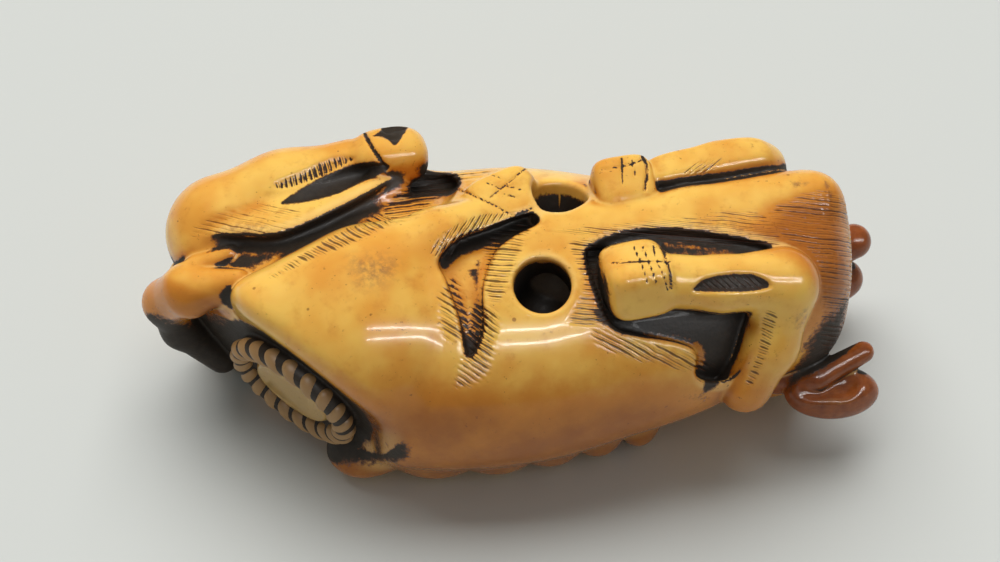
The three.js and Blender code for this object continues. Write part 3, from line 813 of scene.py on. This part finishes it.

# %% Stains and painted shade, drawn and wiped
STAINS = (                                  # outline, feather in mm, strength
    # the deep groove between the thighs
    (((-30, 11.6), (-26, 11.5), (-18.6, 11.6), (-16.6, 12.4), (-14, 12.9), (-10.7, 15.6), (-8.8, 17.6),
      (-6.4, 17.4), (-7.2, 16), (-9.6, 14.2), (-11.4, 12.7), (-16.6, 10.6), (-20.6, 8.6), (-22, 7.4),
      (-25, 8.2), (-30, 9.8)), 1.8, 1),
    # under the left front shin, its arm and the armpit
    (((5.6, 6.4), (9.7, 6.9), (14.4, 6.9), (19, 6.6), (18.9, 4.6), (17.6, 1.6), (16, -0.4), (14.4, -0.8),
      (14.2, 3), (9.7, 3.9), (7, 4.5)), 1.0, 1),
    (((13.5, 0.8), (16.6, 0), (16.1, -2.2), (14.6, -2.4), (12.6, -1.2)), 2.8, 0.8),
    # beside the left hoof
    (((6.4, 11.8), (7.4, 11.6), (8.2, 7), (8, 4.6), (6.2, 4.8), (5.9, 8)), 1.2, 0.95),
    # between the shins
    (((6, 12.3), (10.5, 12.1), (14.6, 11.7), (19.4, 11.2), (19.4, 10), (6, 10)), 1.4, 1),
    (((6.8, 15.6), (10.2, 15.8), (20, 17.7), (22.6, 18), (22.6, 17.2), (14, 15.4), (8, 14.6)), 1.2, 1),
    # beside the left hock
    (((-6.9, 10.5), (-6.1, 11.9), (-5.1, 12.9), (-3.6, 13.7), (-2, 14.1), (0.2, 14), (1.6, 13.6), (-1, 12.4),
      (-2.2, 10.6), (-2.6, 8), (-3.2, 3.6), (-4, 3.6), (-4.6, 7), (-5.2, 9.6)), 0.9, 1),
    (((-3.7, 6.5), (-1.5, 6), (-1.8, 3), (-2.8, 1.4), (-4.6, 0.8), (-4.3, 3.1)), 3.2, 0.75),
)
# black patches that run round the lower sides: painted shade there as well as stain
STAIN_AND_SHADE_SMEARS = (                                  # these run on round the sides
    # the rump behind the disc, where the black is painted shade
    (((-31, 7.4), (-28.6, 6.8), (-26, 6.1), (-22.4, 5.6), (-20.5, 4.6), (-22, -6), (-31, -6)), 2.4, 1),
    # beside the disc
    (((-12.4, 0.6), (-10.4, -1.2), (-8.4, -2.8), (-7, -4.8), (-7.6, -6.4), (-10, -7.4), (-16, -7)), 2.6, 1),
    # low on the neck
    (((23.6, 6.5), (27.5, 8.5), (28, 2.5), (24, -1), (21, -1), (22, 4)), 3, 0.9),
)
BROWN_AND_LOW_SHADE = (                                 # brown places: outline, feather in mm, strength
    (((-26, 14), (-22, 15.4), (-19, 15), (-21, 13), (-25.5, 12)), 1.5, 0.35),
    (((-31, 9.6), (-28, 9.4), (-24, 7.6), (-22, 6), (-24, 4.6), (-31, 5)), 1.2, 0.6),
    (((19, 15.5), (24, 17.3), (27, 17), (29, 11), (28, 2), (23, 0), (21.5, 8), (16, 11)), 4, 1),
    # low on the belly and haunch: browner, which is painted shade on the lower side as well as patina
    (((8, 1.6), (14, 0.6), (14.5, -4.5), (0, -8), (-8, -7), (0, -2)), 6, 0.35),
    (((-9.5, 9), (-7.5, 9.8), (-5.6, 8), (-4, 3), (-7, 1), (-9, 4)), 4, 0.3),
    (((-7, 2), (-1, 1), (0, -4), (-7, -6), (-11, -2)), 6, 0.35),
)
BRUISES = (                                 # purple-brown mottling: outline, feather in mm, strength
    (((-13.7, 10.6), (-11.7, 11.3), (-9.4, 11.1), (-8.2, 9.9), (-8.9, 8), (-11, 7), (-12.9, 7.5)), 2.6, 1),
    (((-24, 13), (-20.2, 13.5), (-18.6, 12.3), (-22, 11.6)), 0.9, 0.7),
    (((22, 16.6), (23.4, 16.5), (23.3, 15.9), (22, 15.8)), 0.4, 1),
    (((24.6, 16.8), (25.4, 16.3), (25.6, 14.9), (25, 15)), 0.4, 1),
    (((22.9, 6.5), (22, 6.1), (21.7, 4.7), (22.8, 4.9)), 0.4, 0.8),
    (((12.8, 13.2), (19, 13.4), (20, 12), (14, 11.6)), 1, 0.6),
    (((13.7, 7.6), (16, 9), (19, 8.8), (19.7, 8), (17, 7.5)), 0.3, 0.9),
)


def spread_of(patches, p):
    """The strongest of several soft patches at each place."""
    drawn_on = np.zeros(len(p))
    for outline, feather, strength in patches:
        drawn_on = np.maximum(drawn_on, patch(outline, feather)(p) * strength)
    return drawn_on


def part_of(form, reach=0.25):
    """1 where the skin belongs to one of the carving's forms, 0 elsewhere."""
    return soft_step(reach, 0.05, sampled(form, points))


upward = facing_up(normals)
place_uv = on_belly(points)
tuft = part_of(tail(), 0.4) * soft_step(5.6, 7.0, place_uv[:, 1] + 0.6 * noise(points, 1.2))
# black smears on the lower sides: painted shade as well as stain
smeared_stain_and_shade = spread_of(STAIN_AND_SHADE_SMEARS, points) * soft_step(-0.75, -0.2, normals @ OUTWARD)
drawn_stain_and_shade = np.maximum(spread_of(STAINS, points) * upward, smeared_stain_and_shade)
legs = left_front_leg(), right_front_leg(), right_hind_leg(), left_hind_leg()
limbs = np.maximum.reduce([part_of(leg) for leg in legs])
drawn_stain_and_shade *= 1 - np.maximum(tuft, limbs * soft_step(0.1, 0.5, normals @ OUTWARD))
drawn_stain_and_shade = np.maximum(drawn_stain_and_shade, soft_step(0.25, -0.25, shank_slit(points)) * upward)
drawn_stain_and_shade = np.maximum(drawn_stain_and_shade, soft_step(0.1, -0.3, hoof_pit(points)) * upward)
for line, _ in SCORED:
    drawn_stain_and_shade = np.maximum(drawn_stain_and_shade, 0.9 * line(points) * upward)

# the cord holes are black inside, under a clean rim
for hole_tool in cord_holes():
    wall = soft_step(0.3, 0.1, np.abs(sampled(hole_tool, points)))
    drawn_stain_and_shade = np.maximum(drawn_stain_and_shade, wall * soft_step(0.5, 1.6, -sampled(body, points)))

# the rope's core and the rings beside it stay black
disc_radius, disc_height = disc_place(points)
off_disc = np.abs(disc_height + 0.6)
plate = soft_step(DISC_RADIUS - 1.8, DISC_RADIUS - 2.1, disc_radius) * soft_step(2.6, 2.2, off_disc)
ring = soft_step(DISC_RADIUS + 2.6, DISC_RADIUS + 0.9, disc_radius) * soft_step(3.4, 2.6, off_disc)
settled = (0.9 * soft_step(0.25, 0.75, narrow) + 0.8 * soft_step(0.3, 0.8, middling)
           + 0.4 * soft_step(0.35, 0.9, wide))
blackness = np.clip(np.maximum.reduce([drawn_stain_and_shade, ring, settled]) * (1 - plate), 0, 1)
russet = part_of(join(0.3, left_ear_and_horn(), right_ear_and_horn()), 0.3)
# browner low on the belly where it faces out: painted shade on the lower front side as well as patina; also
# browner in the wider hollows and in the drawn brown places
low_patina_and_shade = soft_step(5.5, -5.5, place_uv[:, 1]) * soft_step(-0.2, 0.5, normals @ OUTWARD + 0.35)
amber_and_low_shade = np.clip(0.75 * low_patina_and_shade + spread_of(BROWN_AND_LOW_SHADE, points) + 0.5 * wide + 0.5 * middling, 0, 1)
bruise = spread_of(BRUISES, points) * upward
# pale on convex edges: wear, and partly a painted highlight
wear_and_edge_highlight = np.clip(1 + sampled(ox_form, points - normals * 0.5) / 0.5, 0, 1)
strokes = hatch(points)
strokes[:, 2] *= upward
print(f"Stained black: {(blackness > 0.5).mean():.0%} of the skin. Worn: {(wear_and_edge_highlight > 0.3).mean():.0%}.")

# %% Attributes for the finish
def store(mesh, name, values):
    kind = "FLOAT_VECTOR" if values.ndim == 2 else "FLOAT"
    attribute = mesh.attributes.new(name, kind, "POINT")
    attribute.data.foreach_set("vector" if values.ndim == 2 else "value", values.astype(np.float32).ravel())


finish = {"blackness": blackness, "amber_and_low_shade": amber_and_low_shade, "russet": russet, "bruise": bruise, "wear_and_edge_highlight": wear_and_edge_highlight,
          "plate": plate, "strokes": strokes}
for name, values in finish.items():
    store(ox.data, name, values)
print(f"{len(finish)} attributes on {len(points)} corners.")

# %% [markdown]
# ## Stained and polished ivory
# Ivory is a dense, faintly see-through dentine with a refractive index of about 1.54. Age and handling
# turn it honey yellow, and the rubbed-in stain runs from orange to black. The colours also hold painted
# shade, browner and blacker low on the sides, and a painted highlight on the convex edges. Light goes a
# millimetre or so into it, which softens the shading, so the shader has subsurface scattering, and hand
# polish gives a clear sharp gloss on the high places but a duller skin in the grooves.

# %% Helpers for materials
def linear(hex_colour):
    """A display colour such as E3B566 as linear red, green, blue and alpha."""
    parts = [int(hex_colour[i:i + 2], 16) / 255 for i in (0, 2, 4)]
    return [c / 12.92 if c <= 0.04045 else ((c + 0.055) / 1.055) ** 2.4 for c in parts] + [1]


def add_node(tree, kind, inputs=(), **settings):
    """Adds a node. A value for an input may be a number, a colour or another node's output."""
    node = tree.nodes.new(kind)
    for name, value in settings.items():
        setattr(node, name, value)
    for name, value in dict(inputs).items():
        socket = node.inputs[name]
        if isinstance(value, bpy.types.NodeSocket):
            tree.links.new(value, socket)
        else:
            socket.default_value = value
    return node


def number(tree, operation, *values, clamp=False):
    node = add_node(tree, "ShaderNodeMath", dict(enumerate(values)), operation=operation, use_clamp=clamp)
    return node.outputs[0]


def faded(tree, value, start, end):
    """0 below the start, 1 above the end, eased between."""
    inputs = {"Value": value, "From Min": start, "From Max": end}
    return add_node(tree, "ShaderNodeMapRange", inputs, interpolation_type="SMOOTHSTEP").outputs[0]


def blended(tree, factor, one, other):
    """One colour where the factor is 0, the other where it is 1."""
    node = add_node(tree, "ShaderNodeMix", data_type="RGBA")
    for socket, value in zip((node.inputs[0], node.inputs[6], node.inputs[7]), (factor, one, other)):
        if isinstance(value, bpy.types.NodeSocket):
            tree.links.new(value, socket)
        else:
            socket.default_value = value
    return node.outputs[2]


# %% The ivory: what it reads from the mesh
ivory = bpy.data.materials.new("ivory_stained_polished")
ivory.use_nodes = True
tree = ivory.node_tree
tree.nodes.clear()
place = add_node(tree, "ShaderNodeTexCoord").outputs["Object"]


def read(name, output="Fac"):
    return add_node(tree, "ShaderNodeAttribute", attribute_name=name).outputs[output]


def mottle(size_mm, detail=4, rough=0.6):
    """Cloudy noise whose lumps are about this big."""
    return add_node(tree, "ShaderNodeTexNoise", {
        "Vector": place, "Scale": 1 / (size_mm * MM), "Detail": detail, "Roughness": rough,
    }).outputs["Fac"]


black, amber_and_shade, reddish, bruised, lit_and_worn_edges, plate_part = (
    read(name) for name in ("blackness", "amber_and_low_shade", "russet", "bruise", "wear_and_edge_highlight", "plate"))
across, along, pressed = add_node(
    tree, "ShaderNodeSeparateXYZ", {"Vector": read("strokes", "Vector")}).outputs

# %% Knife strokes, a broad set and a fine one
def stroke_set(count, width, shift):
    """Dark lines: how many to each stored stroke, how wide a part of the gap, and how far shifted."""
    turn = number(tree, "MULTIPLY_ADD", across, count, shift)
    which = number(tree, "FLOOR", turn)
    peak = number(tree, "SUBTRACT", 1, number(tree, "ABSOLUTE", number(
        tree, "MULTIPLY_ADD", number(tree, "FRACT", turn), 2, -1)))
    chance = add_node(tree, "ShaderNodeTexWhiteNoise", {"W": which}, noise_dimensions="1D").outputs["Value"]
    reach = add_node(tree, "ShaderNodeCombineXYZ", {0: number(tree, "MULTIPLY", which, 7.3), 1: along})
    breaks = add_node(tree, "ShaderNodeTexNoise", {
        "Vector": reach.outputs[0], "Scale": 1.1, "Detail": 3}).outputs["Fac"]
    force = number(tree, "MULTIPLY_ADD", chance, 0.9, number(tree, "MULTIPLY_ADD", breaks, 1.8, -1.6))
    force = number(tree, "ADD", number(tree, "MULTIPLY", pressed, 1.15), number(
        tree, "MULTIPLY", force, faded(tree, pressed, 0.0, 0.15)))
    start = number(tree, "MULTIPLY_ADD", force, -width, 0.97)
    line = faded(tree, number(tree, "SUBTRACT", peak, start), -0.1, 0.22)
    return number(tree, "MULTIPLY", line, faded(tree, force, 0.1, 0.75), clamp=True)


bold = stroke_set(1, 0.35, 0)
fine = number(tree, "MULTIPLY", stroke_set(2, 0.34, 0.5), 0.6)
stroke = number(tree, "MAXIMUM", bold, fine)

# %% Pits and the ivory's colours
pit_field = add_node(tree, "ShaderNodeTexVoronoi", {"Vector": place, "Scale": 1 / (2.2 * MM)})
pit_size = number(tree, "MULTIPLY_ADD", add_node(
    tree, "ShaderNodeSeparateColor", {0: pit_field.outputs["Color"]}).outputs[0], 0.16, -0.085)
pit = faded(tree, number(tree, "SUBTRACT", pit_size, pit_field.outputs["Distance"]), -0.02, 0.02)
small_fleck = faded(tree, mottle(0.35, 2), 0.66, 0.74)
fleck = number(tree, "MULTIPLY", small_fleck, faded(tree, mottle(3.5, 2), 0.45, 0.6))

honey = blended(tree, faded(tree, mottle(7, 3), 0.35, 0.7), linear("EFBF5A"), linear("DF9A3A"))
cloud = number(tree, "MULTIPLY", faded(tree, mottle(1.6, 5), 0.5, 0.8), 0.55)
honey = blended(tree, cloud, honey, linear("C87D2A"))
# browner where the stored amber is high: patina, and painted shade on the lower front side
aged_and_shaded = number(tree, "ADD", amber_and_shade, number(tree, "MULTIPLY_ADD", mottle(2.5, 4), 0.5, -0.25), clamp=True)
golden = blended(tree, faded(tree, aged_and_shaded, 0.05, 0.6), honey, linear("CC8129"))
golden = blended(tree, faded(tree, aged_and_shaded, 0.5, 1.0), golden, linear("A55F1A"))
golden = blended(tree, reddish, golden, blended(tree, mottle(0.9), linear("B0612A"), linear("5A250D")))
plate_tan = blended(tree, mottle(0.5), linear("8C6238"), linear("5F4024"))
golden = blended(tree, plate_part, golden, plate_tan)
# convex edges lightened towards pale yellow: wear, and partly a painted highlight
edge = number(tree, "MULTIPLY", faded(tree, lit_and_worn_edges, 0.15, 0.5), 0.5)
golden = blended(tree, edge, golden, linear("F0C878"))
patchy = number(tree, "MULTIPLY", bruised, faded(tree, mottle(0.5, 5), 0.36, 0.68))
golden = blended(tree, number(tree, "MULTIPLY", patchy, 0.75), golden, linear("74483A"))
speckle = number(tree, "MULTIPLY", number(tree, "MAXIMUM", pit, fleck), 0.65)
golden = blended(tree, speckle, golden, linear("7A431A"))

# %% Where the stain and the painted shade bite
at_edge = number(tree, "MULTIPLY", faded(tree, black, 0.02, 0.3), 0.5)
stain_and_shade_bite = number(tree, "ADD", black, number(
    tree, "MULTIPLY", number(tree, "SUBTRACT", stroke, 0.35), at_edge))
stain_and_shade_bite = number(tree, "ADD", stain_and_shade_bite, number(tree, "MULTIPLY_ADD", mottle(0.4, 5, 0.7), 1.0, -0.5))
stain_and_shade_bite = number(tree, "ADD", stain_and_shade_bite, number(tree, "MULTIPLY_ADD", mottle(1.3, 3), 0.5, -0.25))
# orange-brown, then near black, where the stain lies and where shade is painted on the lower sides
scorched_and_shaded = blended(tree, faded(tree, stain_and_shade_bite, 0.12, 0.5), golden, linear("83441A"))
stain_and_shade_black = faded(tree, stain_and_shade_bite, 0.2, 0.55)
black_for_stain_and_shade = blended(tree, mottle(0.6, 5, 0.7), linear("1B1511"), linear("40352A"))
inked_and_shaded = blended(tree, stain_and_shade_black, scorched_and_shaded, black_for_stain_and_shade)
line_ink = blended(tree, pressed, linear("7E431C"), linear("30190D"))
colour = blended(tree, number(tree, "MULTIPLY", stroke, 0.8), inked_and_shaded, line_ink)

# %% Gloss, depth and fine relief
rough = number(tree, "MULTIPLY_ADD", stain_and_shade_black, 0.35, number(tree, "MULTIPLY_ADD", mottle(3, 4), 0.12, 0.14))
surface = add_node(tree, "ShaderNodeBsdfPrincipled", {
    "Base Color": colour, "Roughness": rough, "IOR": 1.54, "Specular IOR Level": 0.25,
    "Subsurface Weight": 0.15, "Subsurface Radius": (1.0, 0.45, 0.18), "Subsurface Scale": 0.001,
    "Coat Roughness": 0.05,
})
tree.links.new(number(tree, "MULTIPLY_ADD", stain_and_shade_black, -0.22, 0.25), surface.inputs["Coat Weight"])
height = number(tree, "SUBTRACT", number(tree, "MULTIPLY", mottle(0.35, 4), number(
    tree, "MULTIPLY_ADD", stain_and_shade_black, 0.9, 0.08)), number(tree, "MULTIPLY", stroke, 0.8))
bump = add_node(tree, "ShaderNodeBump", {"Strength": 0.4, "Distance": 0.0001, "Height": height})
tree.links.new(bump.outputs[0], surface.inputs["Normal"])
add_node(tree, "ShaderNodeOutputMaterial", {"Surface": surface.outputs[0]})
ox.data.materials.append(ivory)
print(f"The ivory has {len(tree.nodes)} nodes.")

# %% [markdown]
# ## The rope border
# The disc is edged with a twisted rope: short leaf-shaped strands that lie aslant round the rim. What
# repeats round a circle suits Geometry Nodes: one strand is made once and set on points of a circle.

# %% A node tree that sets strands round a circle
rope_tree = bpy.data.node_groups.new("rope_border", "GeometryNodeTree")
sizes = {}
for name, kind, default in (
    ("Rim radius", "NodeSocketFloat", 0.0049), ("Strands", "NodeSocketInt", 20),
    ("Strand length", "NodeSocketFloat", 0.0027), ("Strand width", "NodeSocketFloat", 0.0014),
    ("Strand thickness", "NodeSocketFloat", 0.0018), ("Slant", "NodeSocketFloat", 0.65),
    ("Finish", "NodeSocketMaterial", None),
):
    sizes[name] = rope_tree.interface.new_socket(name, in_out="INPUT", socket_type=kind)
    if default is not None:
        sizes[name].default_value = default
rope_tree.interface.new_socket("Rope", in_out="OUTPUT", socket_type="NodeSocketGeometry")
given = add_node(rope_tree, "NodeGroupInput").outputs
rim = add_node(rope_tree, "GeometryNodeCurvePrimitiveCircle", {
    "Radius": given["Rim radius"], "Resolution": 96})
stations = add_node(rope_tree, "GeometryNodeCurveToPoints", {
    "Curve": rim.outputs[0], "Count": given["Strands"]})
lump = add_node(rope_tree, "GeometryNodeMeshUVSphere", {"Segments": 24, "Rings": 14, "Radius": 0.5})
sized = add_node(rope_tree, "ShaderNodeCombineXYZ", {
    0: given["Strand width"], 1: given["Strand thickness"], 2: given["Strand length"]})
strand = add_node(rope_tree, "GeometryNodeTransform", {
    "Geometry": lump.outputs["Mesh"], "Scale": sized.outputs[0]})
slant = add_node(rope_tree, "ShaderNodeCombineXYZ", {1: given["Slant"]})
turn = add_node(rope_tree, "FunctionNodeRotateRotation", {
    "Rotation": stations.outputs["Rotation"], "Rotate By": slant.outputs[0]}, rotation_space="LOCAL")
strands = add_node(rope_tree, "GeometryNodeInstanceOnPoints", {
    "Points": stations.outputs["Points"], "Instance": strand.outputs[0], "Rotation": turn.outputs[0]})
real = add_node(rope_tree, "GeometryNodeRealizeInstances", {"Geometry": strands.outputs[0]})
smooth = add_node(rope_tree, "GeometryNodeSetShadeSmooth", {"Geometry": real.outputs[0]})
finished = add_node(rope_tree, "GeometryNodeSetMaterial", {
    "Geometry": smooth.outputs[0], "Material": given["Finish"]})
add_node(rope_tree, "NodeGroupOutput", {"Rope": finished.outputs[0]})

# %% The rope in its place
# a cloth can't polish between the strands, so the border is the same ivory left matt and tan
rope_ivory = bpy.data.materials.new("ivory_rope_matt")
rope_ivory.use_nodes = True
rope_ivory.node_tree.nodes["Principled BSDF"].inputs["Base Color"].default_value = linear("A47E4F")
rope_ivory.node_tree.nodes["Principled BSDF"].inputs["Roughness"].default_value = 0.5

rope = bpy.data.objects.new("rope_border", bpy.data.meshes.new("rope_border"))
bpy.context.scene.collection.objects.link(rope)
maker = rope.modifiers.new("rope", "NODES")
maker.node_group = rope_tree
maker[sizes["Finish"].identifier] = rope_ivory
maker[sizes["Rim radius"].identifier] = (DISC_RADIUS - ROPE_INSET) * FIT * MM
rope_mesh = bpy.data.meshes.new_from_object(rope.evaluated_get(bpy.context.evaluated_depsgraph_get()))
rope.modifiers.remove(maker)
rope.data = rope_mesh

STRAND_LIFT = 0.2                          # mm above the disc's face
level = Vector((0, 0, 1)).cross(Vector(DISC_FACING)).normalized()
rising = Vector(DISC_FACING).cross(level)
seat = Matrix((level, rising, Vector(DISC_FACING))).transposed().to_4x4()
seat.translation = placed(DISC_CENTRE + DISC_FACING * STRAND_LIFT)
rope_mesh.transform(seat)
print(f"The rope has {len(rope_mesh.polygons)} faces.")

# %% [markdown]
# ## Paper and light
# The netsuke lies on a plain sheet of pale grey paper. A wide soft light above and behind makes the
# shadow fall forwards, and two long thin tubes draw the pair of streaks that show the polish.

# %% Floor and light
FLOOR_HALF = 3                             # metres
floor_corners = FLOOR_HALF * np.array([(-1, -1, 0), (1, -1, 0), (1, 1, 0), (-1, 1, 0)])
floor = mesh_object("floor", floor_corners, np.array([[0, 1, 2, 3]]))
paper = bpy.data.materials.new("paper_pale_grey")
paper.use_nodes = True
paper.node_tree.nodes["Principled BSDF"].inputs["Base Color"].default_value = linear("C8CAC6")
paper.node_tree.nodes["Principled BSDF"].inputs["Roughness"].default_value = 0.6
floor.data.materials.append(paper)


def lamp(name, direction, distance, width, height, watts, along=(1, 0, 0)):
    """A white rectangular light facing the netsuke, with its width along a direction."""
    data = bpy.data.lights.new(name, "AREA")
    data.shape, data.size, data.size_y = "RECTANGLE", width, height
    data.energy = watts
    light = bpy.data.objects.new(name, data)
    bpy.context.scene.collection.objects.link(light)
    away = Vector(direction).normalized()
    side = (Vector(along) - away * Vector(along).dot(away)).normalized()
    light.matrix_world = Matrix((side, away.cross(side), away)).transposed().to_4x4()
    light.location = away * distance
    return light


ceiling = lamp("ceiling", (-0.1, 0.4, 0.91), 1.8, 2.0, 1.6, 43)
ceiling.visible_glossy = False             # it is too wide and soft to show in the polish
for name, direction in (("tube_high", (0.5, -0.41, 0.87)), ("tube_low", (0.5, -0.57, 0.78))):
    tube = lamp(name, direction, 1.5, 1.7, 0.045, 11, along=(1, 0.09, 0))
    tube.visible_diffuse = False           # they only draw the two thin streaks
world = bpy.data.worlds.new("room")
world.use_nodes = True
world.node_tree.nodes["Background"].inputs["Color"].default_value = linear("F0F2EE")
world.node_tree.nodes["Background"].inputs["Strength"].default_value = 0.3
bpy.context.scene.world = world
bpy.context.scene.view_settings.view_transform = "Standard"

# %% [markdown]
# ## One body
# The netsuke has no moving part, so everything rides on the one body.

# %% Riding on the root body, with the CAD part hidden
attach(ox, "root")
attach(rope, "root")
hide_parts("carved_ox")
